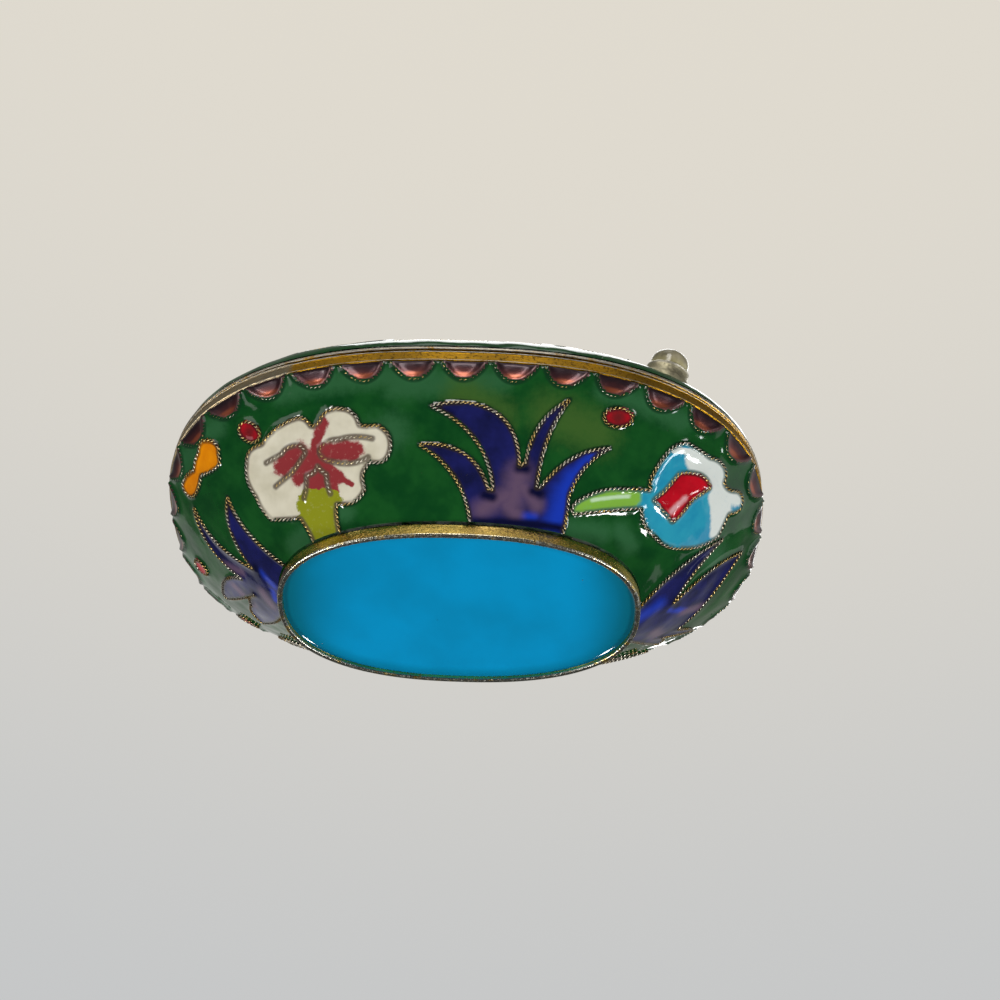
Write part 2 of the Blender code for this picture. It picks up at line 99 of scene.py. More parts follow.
# Enamel and wire
strand_radius = 0.10 * MM
strand_offset = 0.105 * MM
wire_width = 2 * (strand_radius + strand_offset)
wire_pitch = 1.04 * MM
wire_lift = 0.26 * MM
thin_wire = 0.62
ground_level = 0.08 * MM
cell_level = 0.22 * MM
meniscus_height = 0.17 * MM
meniscus_reach = 0.42 * MM
dish_depth = 0.16 * MM
dish_reach = 0.55 * MM
wave_height = 0.05 * MM
wave_reach = 0.8 * MM
rings_per_twist = 8

# The mend in the mouth strip: it starts at a share of the way round, and stands proud of the rest
band_seam = -0.1
seam_step = 0.08 * MM

# Fineness
skin_sides = 720
panel_sides = 240
wall_rows = 66
lid_rows = 62
band_sides = 320

scallop_count = 34
scallop_depth = 2.1 * MM
lid_scallop_depth = 1.8 * MM
scallop_gap = 0.8 * MM
scallop_point = 1.4

WHITE_FLOWER = (
    (-135, -1, -0.03), (-119, 16, 0.12), (-87, 22, -0.1), (-81, 33, 0), (-73, 38, 0.2), (-54, 45, 0.25),
    (-59, 60, -0.05), (-71, 61, 0.22), (-77, 72, 0.15), (-96, 67, -0.1), (-103, 65, 0.2), (-108, 72, 0.05),
    (-141, 64, 0.15), (-160, 58, 0.1), (-173, 39, 0.08), (-179, 23, 0.03), (-157, 15, -0.05), (-165, -1, 0),
)
BUD_AND_FLOWER = (
    (113, 13, 0.03), (157, 31, 0.1), (187, 23, 0.12), (211, 32, 0.12), (222, 58, 0), (210, 69, 0.1),
    (213, 78, 0.2), (199, 80, -0.15), (187, 75, 0.1), (179, 81, 0.1), (166, 79, 0), (147, 78, 0.12),
    (141, 68, 0.05), (145, 49, 0.1), (152, 43, 0), (132, 36, 0.08), (108, 20, 0.2),
)
LOZENGE = (
    (159, 39, 0.02), (185, 36, 0.05), (181, 51, -0.05), (183, 66, 0.1), (169, 67, 0.05), (158, 60, 0),
    (160, 47, 0),
)
TALL_PLANT = (
    (118, -1, 0), (99, 23, -0.15), (106, 57, 0.13), (72, 25, 0.1), (69, 24, -0.1), (66, 81, 0.15),
    (52, 38, 0.1), (48, 36, 0.22), (-21, 71, -0.1), (31, 20, 0.1), (27, 20, 0.15), (-32, 47, -0.08),
    (10, 6, 0), (13, -1, 0),
)
LEFT_LEAVES = (
    (-209, -1, -0.1), (-191, 52, 0.07), (-238, 20, -0.15), (-221, 72, 0.15), (-259, 31, 0.1),
    (-289, 58, 0.1), (-301, 62, 0.05), (-271, 22, 0.1), (-291, 33, 0.1), (-319, 41, 0.1), (-274, -1, 0),
)
RIGHT_LEAVES = (
    (300, -1, 0.05), (340, 56, 0.1), (323, 43, 0), (331, 80, 0.05), (315, 51, -0.08), (251, 80, 0.15),
    (268, 26, -0.12), (227, 62, 0.15), (251, -1, 0),
)
GOURD = (
    (-171, 74, 0.25), (-169, 83, 0.25), (-182, 84, 0.05), (-195, 80, 0.05), (-212, 85, 0.15),
    (-216, 77, 0.15), (-206, 72, 0.05), (-194, 74, 0.05), (-182, 69, 0.2),
)
FLOWER_WIRES = (
    ((-154, 38, 0), (-137, 41, 0), (-129, 44, 0), (-117, 50, 0.25), (-118, 56, 0.1), (-133, 54, 0),
     (-147, 53, 0)),
    ((-65, 52, 0.05), (-89, 54, 0.1), (-106, 50, 0.3), (-103, 42, 0.1), (-73, 41, 0)),
    ((-141, 25, 0.05), (-127, 37, 0.1), (-114, 41, 0.15), (-111, 35, 0.05), (-118, 23, 0.05)),
)
BOWL_DOTS = ((-143, 74, 6.5, 7), (99, 76, 9, 6), (-277, 74, 6, 6), (-334, 72, 7, 7))
BACK_FLOWER_SHIFT = -295
BACK_PLANT_SHIFT = 382
LID_FLOWER = (-2.0, 0.5, 6.5, 6)
LID_LEAVES = (
    ((-10.0, 2.5, 0.0), (-22.5, 10.0, 0.24)), ((-10.5, 0.5, 0.04), (-26.5, -1.5, 0.14)),
    ((-10.0, -2.0, 0.22), (-19.5, -11.0, 0.0)), ((6.0, 3.0, 0.22), (15.5, 11.5, 0.02)),
    ((6.5, 0.5, 0.14), (23.0, 3.0, 0.04)), ((5.5, -2.5, -0.02), (12.5, -12.0, 0.22)),
)
LID_DOTS = ((-11.0, 13.5, 1.3, 1.3), (24.0, 10.5, 1.2, 1.2), (-25.0, -8.6, 1.2, 1.2), (-3.0, -13.5, 1.3, 1.3))

# Brushwork on the bowl, some of it painted light: a stroke's two ends as corners are, and half its width in
# millimetres
FLOWER_ROSE = (
    (-94, 66, -109, 51, 0.6), (-139, 47, -120, 52, 1.0), (-105, 48, -82, 46, 1.05), (-114, 47, -133, 38, 0.9),
    (-114, 46, -103, 31, 0.6), (-103, 31, -96, 26, 0.3), (-107, 37, -113, 24, 0.5), (-116, 40, -127, 28, 1.1),
)
FLOWER_STEM = (
    (-137, 26, -117, 21, 0.7), (-142, 20, -126, 16, 1.4), (-151, 10, -134, 8, 1.5), (-162, 0, -142, 0, 1.3),
)
FLOWER_WHITE = (
    (143, 70, 160, 78, 0.35), (159, 72, 181, 81, 1.2), (171, 68, 203, 80, 1.3), (186, 76, 211, 64, 1.2),
    (191, 66, 216, 58, 1.0),
)
BUD_LIME = ((112, 17, 126, 25, 1.3), (126, 25, 144, 34, 1.2))
# Painted highlights: pale streaks along the bud and across the lozenge stand for glints on the gloss
BUD_GLINT = ((119, 24, 142, 34, 0.2),)
LOZENGE_GLINT = ((177, 40, 176, 51, 0.3),)
DOT_DARK = ((-143, 74, -143, 74, 0.8), (99, 76, 99, 76, 0.9))
PLANT_BRIGHT = (
    (97, 49, 92, 35, 0.6), (92, 35, 93, 24, 0.9), (94, 24, 103, 6, 1.2), (69, 6, 79, 7, 0.45),
)
PLANT_THIN = (
    (50, 31, 52, 14, 1.3), (56, 24, 76, 14, 0.8), (46, 18, 24, 8, 1.0), (48, 12, 60, 7, 0.8),
)
PLANT_POOL = (
    (24, 17, 32, 16, 0.5), (48, 35, 54, 35, 0.5), (67, 22, 74, 21, 0.5), (18, 0, 111, 3, 0.45),
    (-25, 71, -8, 65, 0.5), (61, 78, 65, 86, 0.4),
)
LEAF_BRIGHT = (
    (-236, 14, -243, 4, 0.45), (-252, 5, -262, 4, 0.4), (262, 14, 268, 2, 0.9), (286, 40, 276, 26, 0.4),
)
LEAF_THIN = (
    (-251, 30, -256, 50, 0.5), (-276, 42, -287, 30, 0.6), (-262, 14, -274, 10, 0.7), (288, 40, 290, 60, 0.6),
    (306, 26, 320, 38, 0.8),
)
LEAF_POOL = (
    (-241, 17, -234, 18, 0.6), (-268, 24, -286, 30, 0.4), (265, 27, 274, 30, 0.6), (314, 46, 322, 38, 0.4),
)
# Pale grey-green patches on the ground: partly clouded enamel, partly a painted reflection of pale
# surroundings
GROUND_MILKY_AND_SHEEN = (
    (-110, 90, -20, 90, 1.2), (-40, 84, 20, 88, 1.4), (85, 90, 135, 88, 1.2),
    (225, 50, 245, 56, 1.8), (112, 3, 150, 8, 1.1), (160, 14, 178, 10, 1.0),
)
GROUND_OLIVE = ((58, 70, 92, 64, 2.2), (0, 78, 24, 66, 1.8))


# Ovals and the enamelled faces

def oval_reach(length, width, squareness, angle):
    """Distance from the middle to the edge of a squared oval, at an angle from +X."""
    across = np.abs(np.cos(angle) * 2 / length) ** squareness
    along = np.abs(np.sin(angle) * 2 / width) ** squareness
    return (across + along) ** (-1 / squareness)


def rim_reach(angle):
    return oval_reach(rim_length, rim_width, rim_squareness, angle)


def around(angle, reach, *height):
    """Points at angles from +X and distances from the middle, with their heights if those are given."""
    return np.stack([reach * np.cos(angle), reach * np.sin(angle), *height], -1)


def arc_shares(points):
    steps = np.linalg.norm(np.diff(points, axis=0), axis=1)
    run = np.concatenate([[0.0], np.cumsum(steps)])
    return run / run[-1], run[-1]


def rim_table():
    """Angles from the middle of the front, with their shares of the way round the rim."""
    turn = np.linspace(-math.pi, math.pi, 2001)
    angle = turn - math.pi / 2
    shares, girth = arc_shares(around(angle, rim_reach(angle)))
    return shares - 0.5, angle, girth


RIM_SHARES, RIM_ANGLES, RIM_GIRTH = rim_table()
SCALLOP_PITCH = 1 / scallop_count
SEAM = SCALLOP_PITCH / 2 - 0.5


def round_angle(share):
    """Angle from +X at a share of the way round the rim, also past the middle of the back."""
    whole = np.floor(np.asarray(share) + 0.5)
    return np.interp(share - whole, RIM_SHARES, RIM_ANGLES) + whole * 2 * math.pi


def spread(level):
    """How far the bowl has opened from its foot to its rim, at a share of its height."""
    return 1 - (1 - level) ** bowl_swell


def wall_table():
    level = np.linspace(0, 1, 401)
    side = np.stack([spread(level) * (rim_width - foot_width) / 2, level * bowl_height], -1)
    shares, slant = arc_shares(side)
    return shares, level, slant


WALL_SHARES, WALL_LEVELS, WALL_SLANT = wall_table()


def bowl_oval(level, outside):
    """Length, width and squareness of the bowl at a share of its height, moved outward by a distance."""
    opened = spread(level)
    length = foot_length + (rim_length - foot_length) * opened + 2 * outside
    width = foot_width + (rim_width - foot_width) * opened + 2 * outside
    return length, width, foot_squareness + (rim_squareness - foot_squareness) * opened


def bowl_point(share, rise):
    """The bowl's outer face at a share of the way round and a share of the way up the wall."""
    level = np.interp(rise, WALL_SHARES, WALL_LEVELS)
    angle = round_angle(share)
    reach = oval_reach(*bowl_oval(level, 0), angle)
    return around(angle, reach, bowl_base + level * bowl_height)


def surface_normal(point_at, u, v, u_step, v_step):
    """Unit normals of a surface given by a function, from differences both ways."""
    along = point_at(u + u_step, v) - point_at(u - u_step, v)
    up = point_at(u, v + v_step) - point_at(u, v - v_step)
    normal = np.cross(along, up)
    return normal / np.linalg.norm(normal, axis=-1, keepdims=True)


def bowl_normal(share, rise):
    return surface_normal(bowl_point, share, np.clip(rise, 0.01, 0.99), 0.001, 0.005)


def dome_table(rise, half_width):
    """Shares of the way from the lid's edge to its middle, along the dome, with the plan radius there."""
    radius = np.cos(np.linspace(0, math.pi / 2, 401))
    height = rise * (1 - radius ** lid_squareness) ** (1 / lid_squareness)
    shares, slant = arc_shares(np.stack([(1 - radius) * half_width, height], -1))
    return shares, radius, slant


def dome_point(x, y, length, width, rise, table):
    """A dome's face at a place on its unrolled plan, where equal steps are equal along the dome."""
    angle = np.arctan2(y, x)
    edge = oval_reach(length, width, rim_squareness, angle)
    share = np.clip(1 - np.hypot(x, y) / edge, 0, 1)
    radius = np.interp(share, table[0], table[1])
    height = rise * np.clip(1 - radius ** lid_squareness, 0, 1) ** (1 / lid_squareness)
    return around(angle, radius * edge, lid_base + height)


LID_TABLE = dome_table(lid_rise, rim_width / 2)
UNDER_LID_TABLE = dome_table(lid_rise - lid_wall, rim_width / 2 - lid_wall)


def lid_point(x, y):
    return dome_point(x, y, rim_length, rim_width, lid_rise, LID_TABLE)


def lid_normal(x, y):
    step = 0.05 * MM
    keep = 1 - 2 * step / (rim_width / 2)
    return surface_normal(lid_point, np.asarray(x) * keep, np.asarray(y) * keep, step, step)


# Outlines

def drawn(corners, steps=14, closed=True):
    """A line's points: each stretch is an arc that bulges to the right of the way it runs."""
    points = []
    following = corners[1:] + corners[:1] if closed else corners[1:]
    for (x0, y0, bow), (x1, y1, _) in zip(corners, following):
        for step in range(steps):
            share = step / steps
            bulge = 4 * bow * share * (1 - share)
            points.append((x0 + (x1 - x0) * share + (y1 - y0) * bulge,
                           y0 + (y1 - y0) * share - (x1 - x0) * bulge))
    if not closed:
        points.append(corners[-1][:2])
    return np.array(points, float)


def round_dot(x, y, half_width, half_height, sides=24):
    turn = np.arange(sides) * 2 * math.pi / sides
    return np.stack([x + half_width * np.cos(turn), y + half_height * np.sin(turn)], -1)


def lobed(x, y, reach, lobes):
    """A flower's outline: lobes that meet in shallow notches."""
    turn = np.arange(lobes * 20) * math.pi / (lobes * 10)
    radius = reach * (0.78 + 0.22 * np.abs(np.sin(turn * lobes / 2)) ** 0.8)
    return np.stack([x + radius * np.cos(turn), y + radius * np.sin(turn)], -1)


def scallop_shapes(depth, start):
    """Scallops along the rim: shares of the way round it, with distances in from the start of the arc."""
    half = SCALLOP_PITCH / 2 - scallop_gap / 2 / RIM_GIRTH
    turn = np.linspace(math.pi, 2 * math.pi, 25)
    inward = start + (depth - start) * np.abs(np.sin(turn)) ** scallop_point
    for index in range(scallop_count):
        middle = SEAM + (index + 0.5) * SCALLOP_PITCH
        yield middle + half * np.cos(turn), inward


def on_bowl(line, along=0):
    return (line + (along, 0)) * (0.001, 0.01)


def bowl_drawing():
    """The bowl's cells as outlines with their enamel, later ones over earlier ones, and its wires.

    A wire is a line, whether it is closed, and its width against the others. The plants and the flowers'
    stems are open where they meet the foot, and so are the scallops at the rim.
    """
    rooted = (
        (WHITE_FLOWER, 0, "white"), (WHITE_FLOWER, BACK_FLOWER_SHIFT, "white"),
        (TALL_PLANT, 0, "cobalt"), (TALL_PLANT, BACK_PLANT_SHIFT, "cobalt"),
        (LEFT_LEAVES, 0, "cobalt"), (RIGHT_LEAVES, 0, "cobalt"),
    )
    cells = [(on_bowl(drawn(shape), along), enamel) for shape, along, enamel in rooted]
    wires = [(on_bowl(drawn(shape, closed=False), along), False, 1) for shape, along, _ in rooted]
    framed = [(drawn(BUD_AND_FLOWER), "sky"), (drawn(LOZENGE), "crimson"), (drawn(GOURD), "orange")]
    framed += [(round_dot(*dot), "crimson") for dot in BOWL_DOTS]
    for outline, enamel in framed:
        cells.append((on_bowl(outline), enamel))
        wires.append((on_bowl(outline), True, 1))
    for along in (0, BACK_FLOWER_SHIFT):
        wires += [(on_bowl(drawn(line, closed=False), along), False, 0.9) for line in FLOWER_WIRES]
    for share, inward in scallop_shapes(scallop_depth, -0.1 * MM):
        arc = np.stack([share, 1 - inward / WALL_SLANT], -1)
        cells.append((arc, "plum"))
        wires.append((arc, False, thin_wire))
    return cells, wires


def stone_plan():
    """Where the stone stands on the lid's unrolled plan."""
    return around(stone_turn, rim_reach(stone_turn) - stone_inset)


def lid_drawing():
    """The lid's cells and wires, without the scallops that the stone's cup covers."""
    cells = [(lobed(*LID_FLOWER) * MM, "white")]
    x, y, reach, lobes = LID_FLOWER
    cells += [(drawn(leaf) * MM, "cobalt") for leaf in LID_LEAVES]
    cells += [(round_dot(*dot) * MM, enamel) for dot, enamel in zip(LID_DOTS, ("crimson", "orange") * 2)]
    cells.append((round_dot(x, y, reach * 0.24, reach * 0.24) * MM, "crimson"))
    wires = [(outline, True, 1) for outline, _ in cells]
    for lobe in range(lobes):
        turn = 2 * math.pi * lobe / lobes
        spoke = np.linspace(0.3, 0.62, 12)[:, None] * reach
        wires.append(((spoke * (math.cos(turn), math.sin(turn)) + (x, y)) * MM, False, 0.9))
    angle = np.linspace(0, 2 * math.pi, 240, endpoint=False)
    border = rim_reach(angle) - lid_border
    wires.append((around(angle, border), True, thin_wire))
    for share, inward in scallop_shapes(lid_scallop_depth, 0):
        angle = round_angle(share)
        distance = rim_reach(angle) - lid_border - inward
        arc = around(angle, distance)[::-1]
        if np.linalg.norm(arc - stone_plan(), axis=1).min() > SETTING_RADIUS + joint_gap:
            cells.append((arc, "plum"))
            wires.append((arc, False, thin_wire))
    return cells, wires


def inside(outline, places):
    """True for each place inside the outline."""
    found = np.zeros(len(places), bool)
    near = np.all((places >= outline.min(0)) & (places <= outline.max(0)), 1)
    x, y = places[near].T
    x0, y0 = outline.T[:, :, None]
    x1, y1 = np.roll(outline, -1, 0).T[:, :, None]
    crosses = (y0 > y) != (y1 > y)
    run = np.where(y1 == y0, 1, y1 - y0)
    found[near] = np.count_nonzero(crosses & (x < x0 + (y - y0) * (x1 - x0) / run), axis=0) % 2
    return found


# Mesh making

def deselect_all():
    for obj in bpy.context.selected_objects:
        obj.select_set(False)


def only(obj):
    deselect_all()
    obj.select_set(True)
    bpy.context.view_layer.objects.active = obj
    return obj


def wrapped_grid(name, columns, rows, wrap):
    """A grid primitive wrapped into a closed piece: wrap takes each point's column share and row number."""
    deselect_all()
    bpy.ops.mesh.primitive_grid_add(x_subdivisions=columns, y_subdivisions=rows - 1, size=1)
    obj = bpy.context.object
    obj.name = obj.data.name = name
    flat = np.empty(len(obj.data.vertices) * 3, np.float32)
    obj.data.vertices.foreach_get("co", flat)
    flat = flat.reshape(-1, 3).astype(float) + 0.5
    row = np.rint(flat[:, 1] * (rows - 1)).astype(int)
    places = wrap(np.rint(flat[:, 0] * columns) / columns, row)
    obj.data.vertices.foreach_set("co", places.astype(np.float32).ravel())
    return obj, flat[:, 0], row


def close_mesh(obj, smooth_angle, cap=False):
    """Joins the seam and the poles, turns the faces outward and shades them smooth; cap fills an open end."""
    only(obj)
    bpy.ops.object.mode_set(mode="EDIT")
    bpy.ops.mesh.select_all(action="SELECT")
    bpy.ops.mesh.remove_doubles(threshold=0.001 * MM)
    if cap:
        bpy.ops.mesh.select_all(action="DESELECT")
        bpy.ops.mesh.select_non_manifold()
        bpy.ops.mesh.edge_face_add()
        bpy.ops.mesh.select_all(action="SELECT")
    bpy.ops.mesh.normals_make_consistent(inside=False)
    bpy.ops.object.mode_set(mode="OBJECT")
    bpy.ops.object.shade_smooth_by_angle(angle=math.radians(smooth_angle))
    return obj


def store(obj, name, values):
    attribute = obj.data.attributes.new(name, "FLOAT", "POINT")
    attribute.data.foreach_set("value", np.asarray(values, np.float32))


def finish_piece(obj, slot, replaced, *materials):
    for material in materials:
        obj.data.materials.append(material)
    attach(obj, "root")
    if replaced:
        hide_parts(replaced)
    return obj


def whole_twists(length):
    """How many steps a wire of a length takes, with a whole number of twists."""
    return max(1, round(length / wire_pitch)) * rings_per_twist


def fine_steps(length):
    return max(4, round(length / (wire_width / 5)))


def even_run(line, closed, point_at, steps):
    """The line in evenly spaced steps on the face, rounded a little at its corners."""
    track = np.vstack([line, line[:1]]) if closed else line
    shares, length = arc_shares(point_at(track[:, 0], track[:, 1]))
    count = steps(length)
    at = np.arange(count + (not closed)) / count
    run = np.stack([np.interp(at, shares, track[:, axis]) for axis in (0, 1)], -1)
    for _ in range(3):
        if closed:
            run = (np.roll(run, 1, 0) + 2 * run + np.roll(run, -1, 0)) / 4
        else:
            run[1:-1] = (run[:-2] + 2 * run[1:-1] + run[2:]) / 4
    return run


def nearest(middles):
    """A search tree over points."""
    tree = KDTree(len(middles))
    for index, middle in enumerate(middles):
        tree.insert(middle, index)
    tree.balance()
    return tree


def twisted_wires(name, wires, point_at, normal_at):
    """Two strands laid round each other along every line, half sunk in the enamel."""
    curve = bpy.data.curves.new(name, "CURVE")
    curve.dimensions = "3D"
    curve.bevel_depth = strand_radius
    curve.bevel_resolution = 1
    curve.use_fill_caps = True
    middles, sizes = [], []
    for line, closed, size in wires:
        run = even_run(line, closed, point_at, whole_twists)
        normal = normal_at(run[:, 0], run[:, 1])
        middle = point_at(run[:, 0], run[:, 1]) + normal * wire_lift * size
        ahead = np.roll(middle, -1, 0) - np.roll(middle, 1, 0)
        if not closed:
            ahead[0], ahead[-1] = middle[1] - middle[0], middle[-1] - middle[-2]
        beside = np.cross(ahead, normal)
        beside /= np.linalg.norm(beside, axis=1, keepdims=True)
        phase = np.arange(len(run))[:, None] * 2 * math.pi / rings_per_twist
        middles.append(middle)
        sizes.append(np.full(len(run), size))
        for strand in (0, math.pi):
            offset = beside * np.cos(phase + strand) + normal * np.sin(phase + strand)
            points = middle + offset * strand_offset * size
            spline = curve.splines.new("POLY")
            spline.points.add(len(points) - 1)
            spline.points.foreach_set("co", np.column_stack([points, np.ones(len(points))]).ravel())
            spline.points.foreach_set("radius", np.full(len(points), size))
            spline.use_cyclic_u = closed
            spline.use_smooth = True
    obj = bpy.data.objects.new(name, curve)
    bpy.context.scene.collection.objects.link(obj)
    only(obj)
    bpy.ops.object.convert(target="MESH")
    obj = bpy.context.object
    tree = nearest(np.vstack(middles))
    sizes = np.concatenate(sizes)
    found = [tree.find(vertex.co) for vertex in obj.data.vertices]
    store(obj, "outer", [distance / (wire_width / 2 * sizes[index]) for _, index, distance in found])
    return obj


def wire_distance(points, wires, point_at):
    """Each point's distance to the nearest wire's middle, on the bare face."""
    runs = [even_run(line, closed, point_at, fine_steps) for line, closed, _ in wires]
    places = np.vstack(runs)
    tree = nearest(point_at(places[:, 0], places[:, 1]))
    return np.array([tree.find(point)[2] for point in points])


def stroke_distance(points, track):
    """Each point's distance to a line of straight pieces."""
    start, run = track[:-1], np.diff(track, axis=0)
    away = points[:, None] - start
    share = np.clip((away * run).sum(-1) / np.maximum((run * run).sum(-1), 1e-12), 0, 1)
    return np.linalg.norm(away - run * share[..., None], axis=-1).min(1)


def brushed(points, strokes, shifts):
    """How much of a colour each point gets: 1 on a stroke's line, half at its half width, 0 at twice that."""
    amount = np.zeros(len(points))
    pieces = np.linspace(0, 1, 7)[:, None]
    for shift in shifts:
        for x0, y0, x1, y1, half_width in strokes:
            line = on_bowl(np.array((x0, y0)) * (1 - pieces) + np.array((x1, y1)) * pieces, shift)
            distance = stroke_distance(points, bowl_point(line[:, 0], line[:, 1]))
            amount = np.maximum(amount, 1 - distance / (2 * half_width * MM))
    return amount


def bowl_paint(cell, places):
    """The three brushed amounts of each point of the bowl's face, by the enamel that it is in. Some are
    painted light: glints, a reflection on the ground and shade in the scallops.
    """
    bare = bowl_point(places[:, 0], places[:, 1])
    once, flowers, plants = (0,), (0, BACK_FLOWER_SHIFT), (0, BACK_PLANT_SHIFT)
    brushwork_and_painted_light = (
        ("white", 0, FLOWER_ROSE, flowers), ("white", 1, FLOWER_STEM, flowers),
        ("sky", 0, FLOWER_WHITE, once), ("sky", 1, BUD_LIME, once), ("sky", 2, BUD_GLINT, once),
        ("crimson", 0, LOZENGE_GLINT, once), ("crimson", 1, DOT_DARK, once),
        ("cobalt", 0, PLANT_BRIGHT, plants), ("cobalt", 1, PLANT_THIN, plants),
        ("cobalt", 2, PLANT_POOL, plants), ("cobalt", 0, LEAF_BRIGHT, once),
        ("cobalt", 1, LEAF_THIN, once), ("cobalt", 2, LEAF_POOL, once),
        ("green", 0, GROUND_MILKY_AND_SHEEN, flowers), ("green", 1, GROUND_OLIVE, once),
    )
    amounts = np.zeros((3, len(cell)))
    for enamel, coat, strokes, shifts in brushwork_and_painted_light:
        here = cell == ENAMELS.index(enamel)
        amounts[coat, here] = np.maximum(amounts[coat, here], brushed(bare[here], strokes, shifts))
    # Scallops: a painted reddish glint low in the middle of each, and painted shade along its top under the
    # mouth strip
    here = cell == ENAMELS.index("plum")
    share, rise = places[here].T
    across = ((share - SEAM) / SCALLOP_PITCH) % 1 - 0.5
    inward = (1 - rise) * WALL_SLANT / scallop_depth
    amounts[0, here] = 1.2 - np.hypot(across / 0.36, (inward - 0.74) / 0.26)
    amounts[1, here] = 1.1 - inward / 0.6
    return amounts


def lid_paint(cell, places):
    """Rose in the middle of the lid's flower, and bright leaves that darken towards the flower."""
    x, y, reach, _ = LID_FLOWER
    outward = np.hypot(places[:, 0] / MM - x, places[:, 1] / MM - y) / reach
    amounts = np.zeros((3, len(cell)))
    white, leaf = cell == ENAMELS.index("white"), cell == ENAMELS.index("cobalt")
    amounts[0, white] = np.clip(1.15 - outward[white], 0, 1)
    amounts[0, leaf] = np.clip(outward[leaf] * 0.25 - 0.1, 0, 0.6)
    amounts[2, leaf] = np.clip(2.2 - outward[leaf], 0, 1)
    return amounts


def ripple(points):
    """The slow waves of hand-laid enamel, from -1 to 1."""
    x, y, z = points.T
    first = np.sin(x * 1250 + 1.7 * np.sin(y * 900 + z * 1100))
    second = np.sin(y * 1400 - 1.3 * np.cos(x * 700 + z * 600))
    return (first + second + np.sin(z * 1500 + x * 500)) / 3


def enamel_height(distance, cell, bare):
    """The enamel's height over the bare face: level in a cell, drawn up at wires, dished in scallops."""
    level = np.where(cell == 0, ground_level, cell_level)
    hollow = dish_depth * (1 - np.exp(-(distance / dish_reach) ** 2))
    dish = np.where(cell == ENAMELS.index("plum"), hollow, 0)
    away = 1 - np.exp(-(distance / wave_reach) ** 2)
    drawn_up = meniscus_height * np.exp(-(distance / meniscus_reach) ** 1.5)
    return level - dish + drawn_up + wave_height * ripple(bare) * away


ENAMELS = ("green", "white", "sky", "crimson", "cobalt", "orange", "plum", "inside")


def enamelled(obj, places, drawing, outer, inner, point_at, normal_at, paint):
    """Lifts the outer vertices to the enamel's face, and gives each face its enamel."""
    cells, wires = drawing
    cell = np.zeros(len(places), int)
    for outline, enamel in cells:
        cell[inside(outline, places)] = ENAMELS.index(enamel)
    bare = point_at(places[:, 0], places[:, 1])
    distance = wire_distance(bare, wires, point_at)
    height = enamel_height(distance, cell, bare)
    everything = np.empty(len(outer) * 3, np.float32)
    obj.data.vertices.foreach_get("co", everything)
    everything = everything.reshape(-1, 3)
    everything[outer] = bare + normal_at(places[:, 0], places[:, 1]) * height[:, None]
    obj.data.vertices.foreach_set("co", everything.ravel())
    for name, amount in zip(("first", "second", "third"), paint(cell, places)):
        whole = np.zeros(len(outer))
        whole[outer] = amount
        store(obj, name, whole)
    near = np.full(len(outer), 2.0)
    near[outer] = distance / MM
    store(obj, "near", near)
    whole = np.where(inner, ENAMELS.index("inside"), ENAMELS.index("green"))
    whole[outer] = cell
    first = np.empty(len(obj.data.polygons), np.int32)
    obj.data.polygons.foreach_get("loop_start", first)
    corner = np.empty(len(obj.data.loops), np.int32)
    obj.data.loops.foreach_get("vertex_index", corner)
    obj.data.polygons.foreach_set("material_index", whole[corner[first]].astype(np.int32))
    return obj


# Materials

class Value:
    """A shader socket that sums, products and the like can be written with."""

    def __init__(self, material, socket):
        self.material = material
        self.socket = socket

    def sum_with(self, operation, *pair):
        return self.material.node("ShaderNodeMath", {"operation": operation}, pair)

    def __add__(self, other):
        return self.sum_with("ADD", self, other)

    def __sub__(self, other):
        return self.sum_with("SUBTRACT", self, other)

    def __mul__(self, other):
        return self.sum_with("MULTIPLY", self, other)

    def __truediv__(self, other):
        return self.sum_with("DIVIDE", self, other)

    def __pow__(self, other):
        return self.sum_with("POWER", self, other)

    def __rsub__(self, other):
        return self.sum_with("SUBTRACT", other, self)

    def above(self, low, high):
        """0 below low and 1 above high, smooth between; the other way round if high is the smaller."""
        if low > high:
            return 1 - self.above(high, low)
        smooth = {"interpolation_type": "SMOOTHSTEP"}
        return self.material.node("ShaderNodeMapRange", smooth, [self, low, high])


